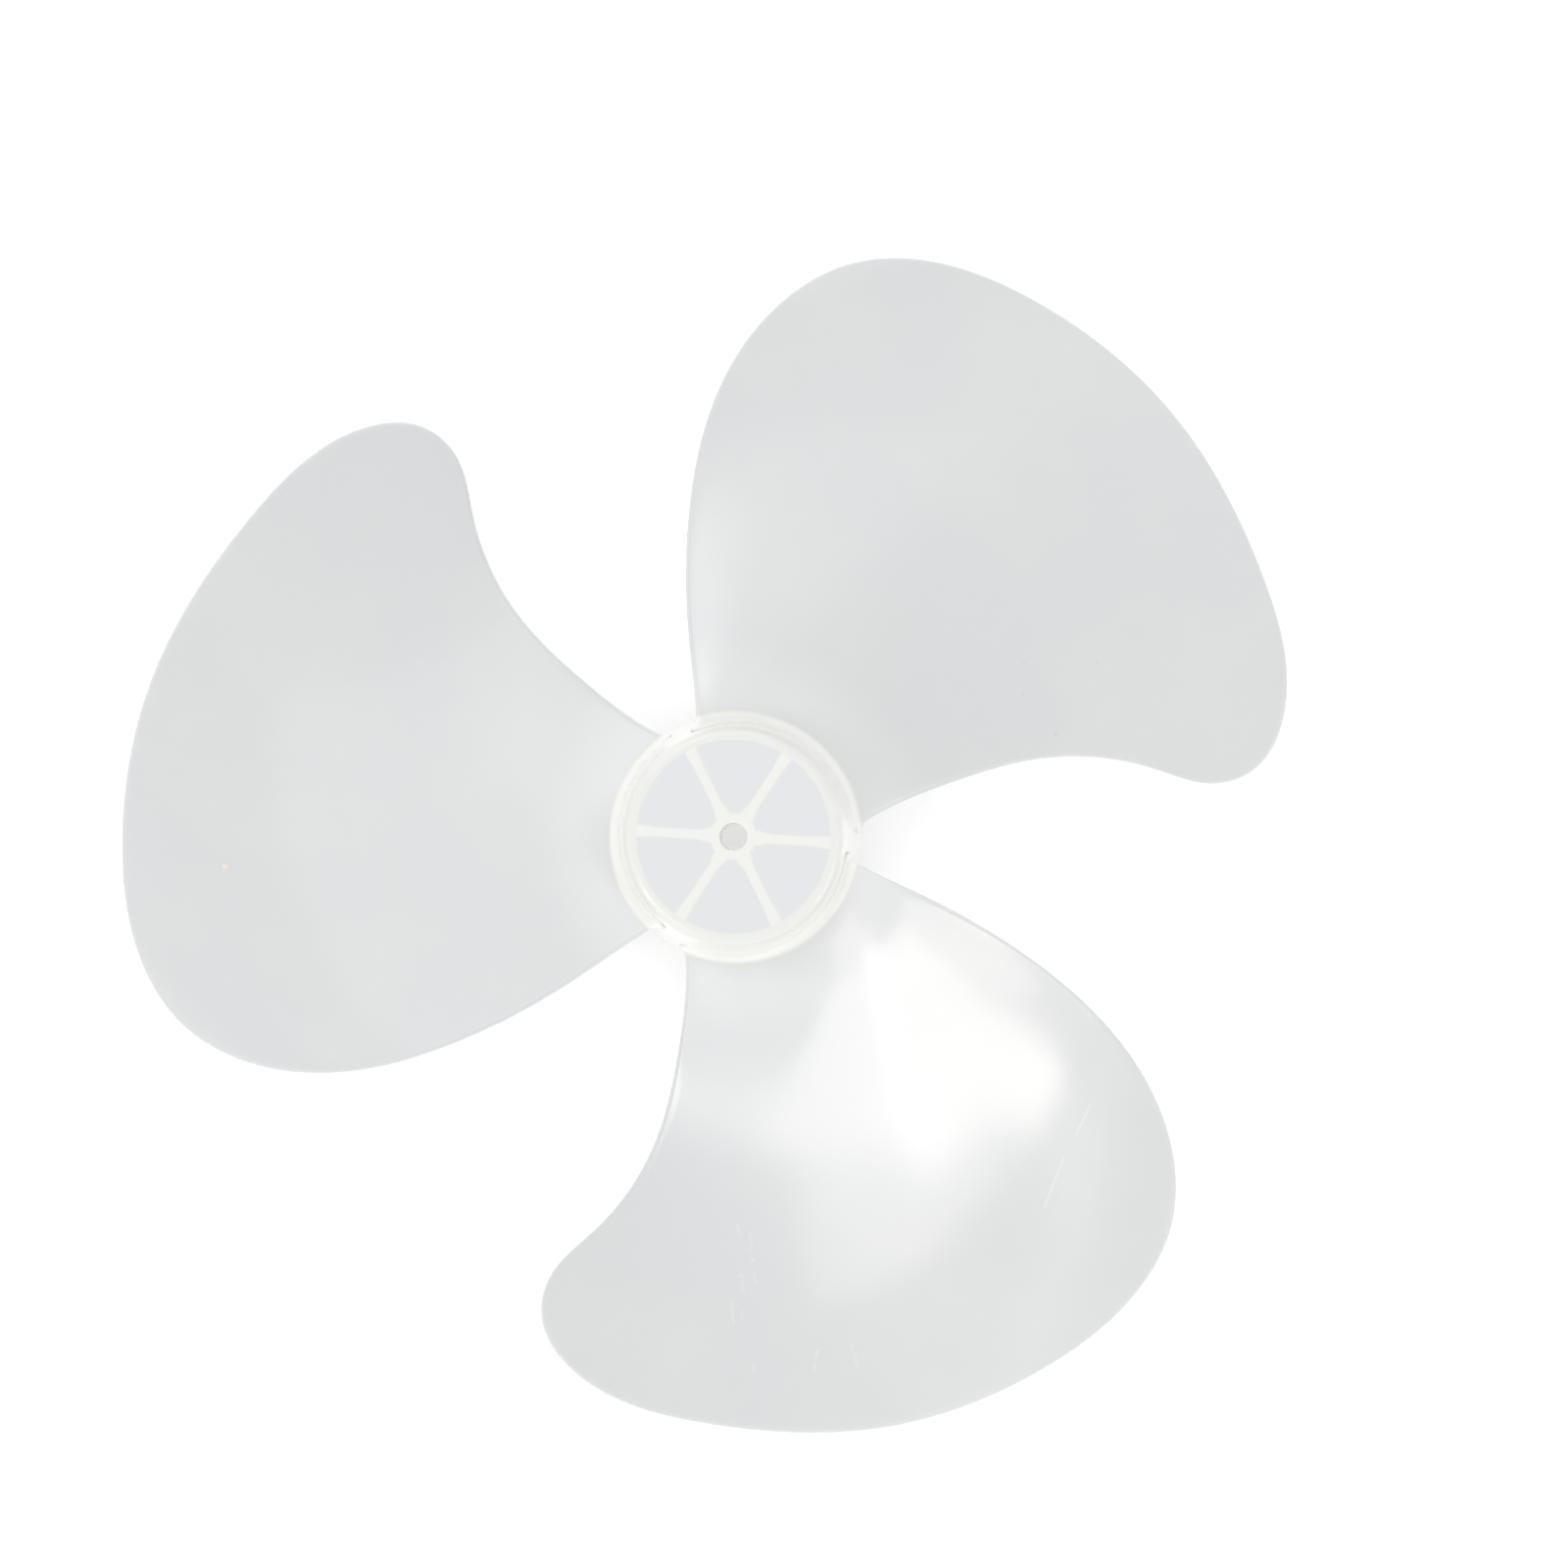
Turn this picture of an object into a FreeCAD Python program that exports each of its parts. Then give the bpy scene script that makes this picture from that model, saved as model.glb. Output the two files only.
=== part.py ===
"""Moulded three-bladed fan impeller for a pedestal fan, in millimetres.

The shaft axis is Z. The front of the fan faces +Z and z = 0 is the hub's flat
front disc, so the hub's cup opens towards -Z. The fan turns clockwise when it
is seen from the front, so each blade's hollow edge, at the more negative angle,
leads and its bulging edge trails.
"""
import math
import os

import FreeCAD
import Part

# Overall sizes
fan_diameter = 360.0
blade_count = 3

# Hub cup
hub_front_diameter = 63.6
hub_back_diameter = 73.6
hub_depth = 24.0
hub_wall = 2.4
disc_thickness = 2.2
front_edge_round = 3.0

# Shaft boss, bore and the slot for the shaft's cross pin
bore_diameter = 8.1
boss_diameter = 14.2
boss_length = 21.0
pin_slot_width = 4.2
pin_slot_depth = 4.5

# Ribs between the boss and the cup's wall
rib_count = 6
rib_thickness = 2.2
rib_depth = 13.0
rib_round = 1.6

# Blade thickness and root blend
root_thickness = 3.0
tip_thickness = 1.9
root_round = 1.6

# Blade section heights at the hub, half way out and at the tip
trailing_heights = (-7.0, 10.5, -8.0)
leading_heights = (-18.5, -38.0, -39.5)

# Angles of the section ends at the same three places, from the blade's middle line
trailing_angles = (50.5, 39.3, 16.0)
leading_angles = (-45.0, -43.0, -40.0)

# How hollow the front of a section is near the hub (0 is a straight chord), how
# level its ends turn at the tip and how late along the span the one passes into
# the other
section_camber = 0.55
tip_level_power = 1.5
tip_blend_power = 3.0

# Blade outline from the trailing root round the tip to the leading root, as
# (share of the span from hub to tip, angle from the blade's middle line)
outline = (
    (0.010, 50.7),
    (0.148, 46.4),
    (0.425, 40.9),
    (0.689, 34.3),
    (0.860, 27.4),
    (0.942, 21.8),
    (0.986, 15.0),
    (1.000, 4.0),
    (0.990, -11.0),
    (0.944, -29.9),
    (0.885, -44.0),
    (0.810, -48.8),
    (0.725, -49.9),
    (0.603, -46.9),
    (0.404, -42.0),
    (0.192, -42.0),
    (0.054, -45.9),
)
outline_first_angle = 56.0
outline_last_angle = -58.0

# The curved sheet that the outline is cut from: how far it runs past the hub
# and the tip, as shares of the span, and past the section ends, as a share of
# the section, and the rows and columns of its net
sheet_span = (-0.12, 1.06)
sheet_margin = 0.2
sheet_rows = 14
sheet_columns = 18

# Middle line of the first blade, from the rib along +X
first_blade_angle = -60.0

FAN_RADIUS = fan_diameter / 2
HUB_RADIUS = hub_back_diameter / 2
BORE_RADIUS = bore_diameter / 2
BOSS_RADIUS = boss_diameter / 2
DRAFT = (hub_back_diameter - hub_front_diameter) / 2 / hub_depth
AXIS = FreeCAD.Vector(0, 0, 1)
ORIGIN = FreeCAD.Vector(0, 0, 0)

# Share of the fan's size below which two places count as the same
CLOSE = fan_diameter * 2e-5


def polar(radius, degrees, height=0.0):
    """Point at a radius, an angle and a height."""
    turn = math.radians(degrees)
    return FreeCAD.Vector(radius * math.cos(turn), radius * math.sin(turn), height)


def through(values, share):
    """Parabola through a value at the hub, half way and at the tip."""
    hub, middle, tip = values
    bend = 2 * (hub + tip) - 4 * middle
    return hub + (tip - hub - bend) * share + bend * share * share


def span_radius(share):
    """Radius at a share of the span from the hub's rim to the blade's tip."""
    return HUB_RADIUS + share * (FAN_RADIUS - HUB_RADIUS)


def hub_radius(height):
    """Outside radius of the hub's tapered wall at a height."""
    return hub_front_diameter / 2 - DRAFT * height


def section_rise(chord, share):
    """Rise along a section, 0 at the leading end and 1 at the trailing end.

    Near the hub the front of the section is hollow. Towards the tip it turns
    level at both ends.
    """
    hollow = chord + section_camber * (chord * chord - chord)
    level = (chord * chord * (3 - 2 * chord)) ** tip_level_power
    blend = max(share, 0) ** tip_blend_power
    return hollow + (level - hollow) * blend


def blade_point(share, chord, side):
    """Point on the blade's front (side 1) or back (side -1)."""
    first = through(leading_angles, share)
    last = through(trailing_angles, share)
    low = through(leading_heights, share)
    high = through(trailing_heights, share)
    half = (root_thickness + (tip_thickness - root_thickness) * share) / 2
    height = low + (high - low) * section_rise(chord, share)
    return polar(span_radius(share), first + (last - first) * chord, height + side * half)


def blade_surface(side):
    """Smooth surface through a net of points on one side of the blade."""
    low, high = sheet_span
    net = []
    for row in range(sheet_rows):
        share = low + (high - low) * row / (sheet_rows - 1)
        line = []
        for column in range(sheet_columns):
            chord = (1 + 2 * sheet_margin) * column / (sheet_columns - 1) - sheet_margin
            line.append(blade_point(share, chord, side))
        net.append(line)
    surface = Part.BSplineSurface()
    surface.interpolate(net)
    return surface.toShape()


def blade_sheet():
    """Curved sheet with the blade's thickness, larger than its outline."""
    front = blade_surface(1)
    back = blade_surface(-1)
    faces = [front, back]
    for front_edge, back_edge in zip(front.Edges, back.Edges):
        faces.append(Part.makeRuledSurface(front_edge, back_edge))
    shell = Part.makeShell(faces)
    shell.sewShape()
    return Part.makeSolid(shell)


def blade_prism():
    """Blade outline, closed inside the hub, as a prism along the axis."""
    inner = hub_front_diameter / 2 - hub_wall
    points = [polar(inner, outline_first_angle)]
    points += [polar(span_radius(share), angle) for share, angle in outline]
    points.append(polar(inner, outline_last_angle))
    edge = Part.BSplineCurve()
    edge.interpolate(points)
    closing = Part.LineSegment(points[-1], points[0])
    face = Part.Face(Part.Wire([edge.toShape(), closing.toShape()]))
    face.translate(AXIS * -fan_diameter)
    return face.extrude(AXIS * (2 * fan_diameter))


def blade():
    """One blade, cut to its outline and ending inside the hub's wall."""
    solid = blade_sheet().common(blade_prism())
    return solid.cut(hub_core(hub_wall / 2))


def hub_core(inset):
    """Solid that fills the hub to a distance inside its outer wall."""
    bottom, top = -2 * hub_depth, hub_depth
    return Part.makeCone(
        hub_radius(bottom) - inset, hub_radius(top) - inset, top - bottom,
        FreeCAD.Vector(0, 0, bottom))


def hub_cup():
    """Cup turned about the axis: front disc, tapered wall and boss."""
    rim = -hub_depth
    under = -disc_thickness
    front = hub_radius(0)
    slant = math.sqrt(1 + DRAFT * DRAFT)
    wall = hub_wall * slant
    outside = Part.makePolygon([
        FreeCAD.Vector(0, 0, 0),
        FreeCAD.Vector(front, 0, 0),
        FreeCAD.Vector(hub_radius(rim), 0, rim),
        FreeCAD.Vector(hub_radius(rim) - wall, 0, rim),
        FreeCAD.Vector(hub_radius(under) - wall, 0, under),
        FreeCAD.Vector(BOSS_RADIUS, 0, under),
        FreeCAD.Vector(BOSS_RADIUS, 0, -boss_length),
        FreeCAD.Vector(0, 0, -boss_length),
        FreeCAD.Vector(0, 0, 0),
    ])
    return Part.Face(outside).revolve(ORIGIN, AXIS, 360)


def rib(number):
    """One rib from the boss to the middle of the cup's wall."""
    start = (BORE_RADIUS + BOSS_RADIUS) / 2
    bar = Part.makeBox(
        HUB_RADIUS - start, rib_thickness, rib_depth + disc_thickness / 2,
        FreeCAD.Vector(start, -rib_thickness / 2, -disc_thickness - rib_depth))
    bar = bar.common(hub_core(hub_wall / 2))
    bar.rotate(ORIGIN, AXIS, 360 / rib_count * number)
    return bar


def upright(edge):
    """True for a long edge that climbs along the axis more than it runs across it."""
    rise = abs(edge.Vertexes[0].Point.z - edge.Vertexes[-1].Point.z)
    return 2 * rise > max(edge.Length, rib_depth)


def hub():
    """Ribbed cup with rounded rims, the shaft bore and the pin slot."""
    cup = hub_cup().multiFuse([rib(number) for number in range(rib_count)]).removeSplitter()
    corners = [edge for edge in cup.Edges if upright(edge) and on_rib(edge)]
    cup = cup.makeFillet(rib_round, corners)
    front = [edge for edge in cup.Edges if on_circle(edge, hub_radius(0), 0)]
    cup = cup.makeFillet(front_edge_round, front)
    bore = Part.makeCylinder(BORE_RADIUS, boss_length, FreeCAD.Vector(0, 0, -boss_length))
    slot = Part.makeBox(
        boss_diameter, pin_slot_width, pin_slot_depth,
        FreeCAD.Vector(-BOSS_RADIUS, -pin_slot_width / 2, -boss_length))
    return cup.cut(bore).cut(slot)


def on_rib(edge):
    """True if an edge lies on a rib's flat side."""
    middle = edge.valueAt((edge.FirstParameter + edge.LastParameter) / 2)
    angle = math.degrees(math.atan2(middle.y, middle.x))
    step = 360 / rib_count
    off = math.radians(angle - step * round(angle / step))
    radius = math.hypot(middle.x, middle.y)
    return abs(abs(radius * math.sin(off)) - rib_thickness / 2) < CLOSE


def on_circle(edge, radius, height):
    """True if an edge is the circle of a radius at a height."""
    curve = edge.Curve
    if not isinstance(curve, Part.Circle):
        return False
    return abs(curve.Radius - radius) < CLOSE and abs(curve.Center.z - height) < CLOSE


def is_root(edge):
    """True for the long edges where a blade's front and back meet the hub's wall."""
    if isinstance(edge.Curve, (Part.Circle, Part.Line)) or edge.Length < 2 * root_thickness:
        return False
    span = edge.LastParameter - edge.FirstParameter
    for share in (0, 0.5, 1):
        point = edge.valueAt(edge.FirstParameter + span * share)
        if abs(math.hypot(point.x, point.y) - hub_radius(point.z)) > CLOSE:
            return False
    return True


def fan():
    """Hub and blades fused, with the roots rounded on the blades' fronts."""
    first = blade()
    blades = []
    for number in range(blade_count):
        turned = first.copy()
        turned.rotate(ORIGIN, AXIS, first_blade_angle + 360 / blade_count * number)
        blades.append(turned)
    solid = hub().multiFuse(blades)
    roots = sorted(filter(is_root, solid.Edges), key=lambda edge: edge.CenterOfMass.z)
    return solid.makeFillet(root_round, roots[-blade_count:]).Solids[0]


os.makedirs("parts", exist_ok=True)
fan().exportStep("parts/fan_blade.step")
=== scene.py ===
"""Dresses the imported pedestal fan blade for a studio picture.

Sizes in the classes are millimetres, as in the part's source, and become metres
where a mesh is finished. The shaft axis is Z, the front faces +Z and the hub's
flat front disc is at height 0.
"""

import logging
import math
from dataclasses import dataclass, field
from enum import Enum
from typing import Callable, Optional, Sequence, Union

import bmesh
import bpy
import numpy as np
from mathutils import Matrix, Vector


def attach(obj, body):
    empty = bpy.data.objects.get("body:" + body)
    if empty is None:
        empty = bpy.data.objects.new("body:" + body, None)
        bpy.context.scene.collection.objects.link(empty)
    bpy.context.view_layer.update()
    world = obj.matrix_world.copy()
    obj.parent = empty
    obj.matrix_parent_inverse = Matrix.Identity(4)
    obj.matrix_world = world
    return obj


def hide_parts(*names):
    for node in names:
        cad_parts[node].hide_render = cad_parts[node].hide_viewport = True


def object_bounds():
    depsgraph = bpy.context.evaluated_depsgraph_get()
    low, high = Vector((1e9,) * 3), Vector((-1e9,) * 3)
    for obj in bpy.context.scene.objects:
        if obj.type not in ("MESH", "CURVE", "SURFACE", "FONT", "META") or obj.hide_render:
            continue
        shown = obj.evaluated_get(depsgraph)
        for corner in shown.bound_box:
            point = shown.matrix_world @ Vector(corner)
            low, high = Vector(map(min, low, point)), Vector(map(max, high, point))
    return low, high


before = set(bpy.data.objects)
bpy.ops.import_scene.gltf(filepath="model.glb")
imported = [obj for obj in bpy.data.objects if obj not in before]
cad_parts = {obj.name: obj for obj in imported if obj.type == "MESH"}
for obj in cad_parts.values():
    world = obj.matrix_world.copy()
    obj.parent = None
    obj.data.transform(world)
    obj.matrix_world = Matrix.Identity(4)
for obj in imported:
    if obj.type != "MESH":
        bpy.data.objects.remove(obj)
CAD_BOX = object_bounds()
MM = 0.001
LOG = logging.getLogger("fan_blade")

# Distance, in millimetres, below which two points of a mesh become one
MERGE = 0.001

# Share of a sheet's side below which a place counts as being at its end
CLOSE = 1e-6

# Corners of a face that may stay whole
QUAD = 4

Place = Callable[[float, float, float], Vector]
Colour = tuple[float, float, float, float]


class Join(Enum):
    """How one closed mesh is combined with another."""

    ADD = "UNION"
    CUT = "DIFFERENCE"


def through(values: Sequence[float], share: float) -> float:
    """Follow a parabola through three values.

    Args:
        values: Values at the hub, half way out and at the tip.
        share: Share of the way from the hub to the tip.

    Returns:
        The value at that share.
    """
    hub, middle, tip = values
    bend = 2 * (hub + tip) - 4 * middle
    return hub + (tip - hub - bend) * share + bend * share * share


@dataclass(frozen=True)
class Fillet:
    """Round between a surface and the wall that it meets.

    The round turns steeper towards the wall, up to the share at_wall of its
    radius there, and a little further inside the wall, up to the share deepest.
    """

    radius: float
    at_wall: float = 0.82
    deepest: float = 0.9

    def reach(self) -> float:
        """Distance from the wall at which the round starts."""
        return self.radius * self.at_wall

    def rise(self, gap: float) -> float:
        """Height of the round over the surface at a distance from the wall."""
        run = min(max(self.reach() - gap, 0.0), self.radius * self.deepest)
        return self.radius - math.sqrt(self.radius * self.radius - run * run)

    def gap(self, share: float) -> float:
        """Distance from the wall at a share of the arc, from its deep end."""
        return self.reach() - self.radius * math.sin(math.asin(self.deepest) * (1 - share))


def smooth_line(points: np.ndarray, cuts: int) -> np.ndarray:
    """Draw a natural cubic line through points.

    Args:
        points: Points of the plan, one row each.
        cuts: Steps from each point to the next.

    Returns:
        Points along the line, one row each.
    """
    steps = np.diff(points, axis=0)
    gaps = np.linalg.norm(steps, axis=1)
    slopes = steps / gaps[:, None]
    system = np.eye(len(points))
    target = np.zeros_like(points)
    for index in range(1, len(points) - 1):
        before, after = gaps[index - 1], gaps[index]
        system[index, index - 1:index + 2] = before, 2 * (before + after), after
        target[index] = 6 * (slopes[index] - slopes[index - 1])
    bends = np.linalg.solve(system, target)
    far = np.linspace(0, 1, cuts, endpoint=False)[:, None]
    near = 1 - far
    line = []
    for index, gap in enumerate(gaps):
        sag = (near ** 3 - near) * bends[index] + (far ** 3 - far) * bends[index + 1]
        line.append(near * points[index] + far * points[index + 1] + sag * gap * gap / 6)
    return np.concatenate(line + [points[-1:]])


def thick_sheet(columns: int, rows: int, cuts: int, place: Place) -> bmesh.types.BMesh:
    """Make a closed sheet and bend it into its place.

    The sheet starts as a block from -1 to 1 along all three axes.

    Args:
        columns: Faces along X.
        rows: Faces along Y.
        cuts: Cuts across the sheet's edge.
        place: Gives the finished place, in millimetres, of a point of the block.

    Returns:
        The sheet, in metres.
    """
    mesh = bmesh.new()
    bmesh.ops.create_grid(mesh, x_segments=columns, y_segments=rows, size=1.0)
    bmesh.ops.translate(mesh, verts=mesh.verts, vec=(0, 0, -1))
    lifted = bmesh.ops.extrude_face_region(mesh, geom=mesh.faces[:])
    tops = [item for item in lifted["geom"] if isinstance(item, bmesh.types.BMVert)]
    bmesh.ops.translate(mesh, verts=tops, vec=(0, 0, 2))
    if cuts:
        across = [edge for edge in mesh.edges if edge.verts[0].co.z * edge.verts[1].co.z < 0]
        bmesh.ops.subdivide_edges(mesh, edges=across, cuts=cuts, use_grid_fill=True)
    for vert in mesh.verts:
        vert.co = place(*vert.co) * MM
    return mesh


def repeat(mesh: bmesh.types.BMesh, count: int, first_degrees: float = 0.0) -> None:
    """Repeat a mesh round the shaft axis.

    Args:
        mesh: Mesh to turn and copy.
        count: Number of copies with the first one.
        first_degrees: Angle of the first one.
    """
    bmesh.ops.rotate(mesh, verts=mesh.verts, cent=(0, 0, 0),
                     matrix=Matrix.Rotation(math.radians(first_degrees), 3, "Z"))
    bmesh.ops.spin(mesh, geom=mesh.verts[:] + mesh.edges[:] + mesh.faces[:], cent=(0, 0, 0),
                   axis=(0, 0, 1), angle=math.tau * (count - 1) / count, steps=count - 1,
                   use_duplicate=True)


def finish_object(mesh: bmesh.types.BMesh, name: str) -> bpy.types.Object:
    """Turn a mesh into an object of the scene.

    Args:
        mesh: Mesh to take over. It is freed.
        name: Name of the object.

    Returns:
        The object, at the origin.
    """
    bmesh.ops.remove_doubles(mesh, verts=mesh.verts, dist=MERGE * MM)
    bmesh.ops.recalc_face_normals(mesh, faces=mesh.faces)
    data = bpy.data.meshes.new(name)
    mesh.to_mesh(data)
    mesh.free()
    item = bpy.data.objects.new(name, data)
    bpy.context.scene.collection.objects.link(item)
    return item


def combine(base: bpy.types.Object, tool: bpy.types.Object, how: Join) -> None:
    """Add a closed object to another or cut it away.

    Args:
        base: Object that is changed.
        tool: Object that is used up.
        how: Whether the tool is added or cut.
    """
    step = base.modifiers.new(how.name, "BOOLEAN")
    step.operation = how.value
    step.solver = "EXACT"
    step.object = tool
    graph = bpy.context.evaluated_depsgraph_get()
    result = bpy.data.meshes.new_from_object(base.evaluated_get(graph))
    base.modifiers.clear()
    base.data = result
    bpy.data.objects.remove(tool)


@dataclass(frozen=True)
class TaperedWall:
    """Slanted wall of the hub cup, wider at the back."""

    front_radius: float = 31.8
    back_radius: float = 36.8
    depth: float = 24.0
    thickness: float = 2.4

    def outside(self, height: float) -> float:
        """Outside radius at a height."""
        return self.front_radius - (self.back_radius - self.front_radius) * height / self.depth

    def inside(self, height: float) -> float:
        """Inside radius at a height."""
        slant = math.hypot(self.back_radius - self.front_radius, self.depth) / self.depth
        return self.outside(height) - self.thickness * slant


@dataclass
class HubCup:
    """Ribbed cup with the shaft boss, its bore and the slot for the cross pin.

    Sides of the half section that are longer than long_side get wall_cuts cuts.
    The block that cuts the slot is slot_overrun times as long as the boss is wide.
    """

    wall: TaperedWall = field(default_factory=TaperedWall)
    disc_thickness: float = 2.2
    bore_radius: float = 4.05
    boss_radius: float = 7.1
    boss_length: float = 21.0
    front_round: float = 2.5
    rim_round: float = 0.8
    inner_round: float = 1.0
    bore_round: float = 0.3
    boss_round: float = 0.5
    round_steps: int = 8
    long_side: float = 11.0
    wall_cuts: int = 11
    turn_steps: int = 144
    rib_count: int = 6
    rib_thickness: float = 2.2
    rib_depth: float = 13.0
    rib_round: Fillet = Fillet(2.4)
    rib_columns: int = 120
    rib_rows: int = 2
    slot_width: float = 4.2
    slot_depth: float = 4.5
    slot_overrun: float = 1.2

    def corners(self) -> list[tuple[float, float, float]]:
        """List the corners of the half section.

        Returns:
            Radius, height and rounding of each corner, once round.
        """
        back, under = -self.wall.depth, -self.disc_thickness
        return [
            (self.bore_radius, 0.0, self.bore_round),
            (self.wall.outside(0), 0.0, self.front_round),
            (self.wall.outside(back), back, self.rim_round),
            (self.wall.inside(back), back, self.rim_round),
            (self.wall.inside(under), under, self.inner_round),
            (self.boss_radius, under, self.inner_round),
            (self.boss_radius, -self.boss_length, self.boss_round),
            (self.bore_radius, -self.boss_length, self.bore_round),
        ]

    def build(self) -> bpy.types.Object:
        """Turn the half section about the axis.

        Returns:
            The cup without its ribs, slot and blades.
        """
        mesh = bmesh.new()
        corners = self.corners()
        verts = [mesh.verts.new((radius * MM, 0, height * MM)) for radius, height, _ in corners]
        mesh.faces.new(verts)
        for vert, (_, _, rounding) in zip(verts, corners):
            bmesh.ops.bevel(mesh, geom=[vert], offset=rounding * MM, offset_type="OFFSET",
                            affect="VERTICES", segments=self.round_steps, profile=0.5, material=-1)
        section = next(iter(mesh.faces))
        long_edges = [edge for edge in section.edges if edge.calc_length() > self.long_side * MM]
        bmesh.ops.delete(mesh, geom=[section], context="FACES_ONLY")
        bmesh.ops.subdivide_edges(mesh, edges=long_edges, cuts=self.wall_cuts)
        bmesh.ops.spin(mesh, geom=mesh.verts[:] + mesh.edges[:], cent=(0, 0, 0), axis=(0, 0, 1),
                       angle=math.tau, steps=self.turn_steps, use_merge=True)
        return finish_object(mesh, "fan_moulding")

    def rib_place(self, along: float, across: float, side: float) -> Vector:
        """Place a point of the rib along +X.

        Args:
            along: -1 inside the boss to 1 inside the wall.
            across: -1 at the rib's back edge to 1 inside the disc.
            side: -1 and 1 on the rib's two sides.

        Returns:
            The point, in millimetres.
        """
        low, high = -self.disc_thickness - self.rib_depth, -self.disc_thickness / 2
        height = low + (high - low) * (across + 1) / 2
        start = (self.bore_radius + self.boss_radius) / 2
        end = (self.wall.inside(height) + self.wall.outside(height)) / 2
        radius = start + (end - start) * (along + 1) / 2
        gap = min(radius - self.boss_radius, self.wall.inside(height) - radius)
        half = self.rib_thickness / 2 + self.rib_round.rise(gap)
        return Vector((radius, side * half, height))

    def ribs(self) -> bpy.types.Object:
        """Make all the ribs.

        Returns:
            The ribs, ready to join the cup.
        """
        mesh = thick_sheet(self.rib_columns, self.rib_rows, 0, self.rib_place)
        repeat(mesh, self.rib_count)
        return finish_object(mesh, "ribs")

    def pin_slot(self) -> bpy.types.Object:
        """Make the block that cuts the cross pin's slot.

        Returns:
            The block, across the boss's back end.
        """
        mesh = bmesh.new()
        length = 2 * self.boss_radius * self.slot_overrun
        size = Vector((length, self.slot_width, 2 * self.slot_depth)) * MM
        bmesh.ops.create_cube(mesh, size=1.0, matrix=Matrix.Diagonal((*size, 1)))
        bmesh.ops.translate(mesh, verts=mesh.verts, vec=(0, 0, -self.boss_length * MM))
        return finish_object(mesh, "pin_slot")


@dataclass
class Blade:
    """Twisted, cambered blade with a round rim and a filleted root.

    The outline runs from the trailing root round the tip to the leading root, as
    shares of the span and angles from the blade's middle line. Triples are values
    at the hub, half way out and at the tip.
    """

    wall: TaperedWall = field(default_factory=TaperedWall)
    tip_radius: float = 180.0
    root_thickness: float = 3.0
    tip_thickness: float = 1.9
    root_round: Fillet = Fillet(3.0)
    root_bury: float = 0.9
    root_rows: int = 11
    trailing_heights: tuple[float, float, float] = (-7.0, 10.5, -8.0)
    leading_heights: tuple[float, float, float] = (-18.5, -38.0, -39.5)
    trailing_angles: tuple[float, float, float] = (50.5, 39.3, 16.0)
    leading_angles: tuple[float, float, float] = (-45.0, -43.0, -40.0)
    camber: float = 0.55
    tip_level_power: float = 1.5
    tip_blend_power: float = 3.0
    outline: tuple[tuple[float, float], ...] = (
        (0.010, 50.7), (0.148, 46.4), (0.425, 40.9), (0.689, 34.3), (0.860, 27.4), (0.942, 21.8),
        (0.986, 15.0), (1.000, 4.0), (0.990, -11.0), (0.944, -29.9), (0.885, -44.0),
        (0.810, -48.8), (0.725, -49.9), (0.603, -46.9), (0.404, -42.0), (0.192, -42.0),
        (0.054, -45.9))
    inner_radius: float = 29.4
    inner_angles: tuple[float, float] = (56.0, -58.0)
    lobe_point: int = 6
    hook_point: int = 11
    line_cuts: int = 40
    columns: int = 56
    rows: int = 84
    rim_cuts: int = 11
    row_growth: float = 1.45
    root_tries: int = 6
    line: np.ndarray = field(init=False)
    run: np.ndarray = field(init=False)
    outward: np.ndarray = field(init=False)
    corner_runs: tuple[float, float, float, float] = field(init=False)
    plans: dict[tuple[float, float], np.ndarray] = field(init=False, default_factory=dict)

    def __post_init__(self) -> None:
        """Draw the outline and find the ends of its four sides."""
        knots = [(self.inner_radius, self.inner_angles[0])]
        knots += [(self.span_radius(share), angle) for share, angle in self.outline]
        knots.append((self.inner_radius, self.inner_angles[1]))
        turns = [(radius, math.radians(angle)) for radius, angle in knots]
        points = np.array([(radius * math.cos(turn), radius * math.sin(turn)) for radius, turn in turns])
        self.line = smooth_line(points, self.line_cuts)
        steps = np.diff(self.line, axis=0)
        self.run = np.concatenate(([0.0], np.cumsum(np.linalg.norm(steps, axis=1))))
        ahead = np.gradient(self.line, axis=0)
        ahead /= np.linalg.norm(ahead, axis=1)[:, None]
        self.outward = np.stack((-ahead[:, 1], ahead[:, 0]), axis=1)
        depth = [math.hypot(*point) - self.wall.outside(self.height(*point)) + self.root_bury
                 for point in self.line]
        sunk = np.array(depth) < 0
        first = int(np.argmin(sunk))
        last = len(sunk) - 1 - int(np.argmin(sunk[::-1]))
        self.corner_runs = (
            self.run[first], self.run[self.lobe_point * self.line_cuts],
            self.run[self.hook_point * self.line_cuts], self.run[last])

    def span_radius(self, share: float) -> float:
        """Radius at a share of the span from the hub's back rim to the tip."""
        return self.wall.back_radius + share * (self.tip_radius - self.wall.back_radius)

    def span_share(self, radius: float) -> float:
        """Share of the span at a radius."""
        return (radius - self.wall.back_radius) / (self.tip_radius - self.wall.back_radius)

    def height(self, x: float, y: float) -> float:
        """Height of the blade's middle surface.

        Args:
            x: Place along the blade's middle line.
            y: Place across it.

        Returns:
            The height there.
        """
        share = self.span_share(math.hypot(x, y))
        first, last = through(self.leading_angles, share), through(self.trailing_angles, share)
        low, high = through(self.leading_heights, share), through(self.trailing_heights, share)
        chord = (math.degrees(math.atan2(y, x)) - first) / (last - first)
        hollow = chord + self.camber * (chord * chord - chord)
        level = (chord * chord * (3 - 2 * chord)) ** self.tip_level_power
        blend = max(share, 0.0) ** self.tip_blend_power
        return low + (high - low) * (hollow + (level - hollow) * blend)

    def half_sheet(self, radius: float) -> float:
        """Half of the blade's thickness at a radius, without the root fillet."""
        share = self.span_share(radius)
        return (self.root_thickness + (self.tip_thickness - self.root_thickness) * share) / 2

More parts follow.
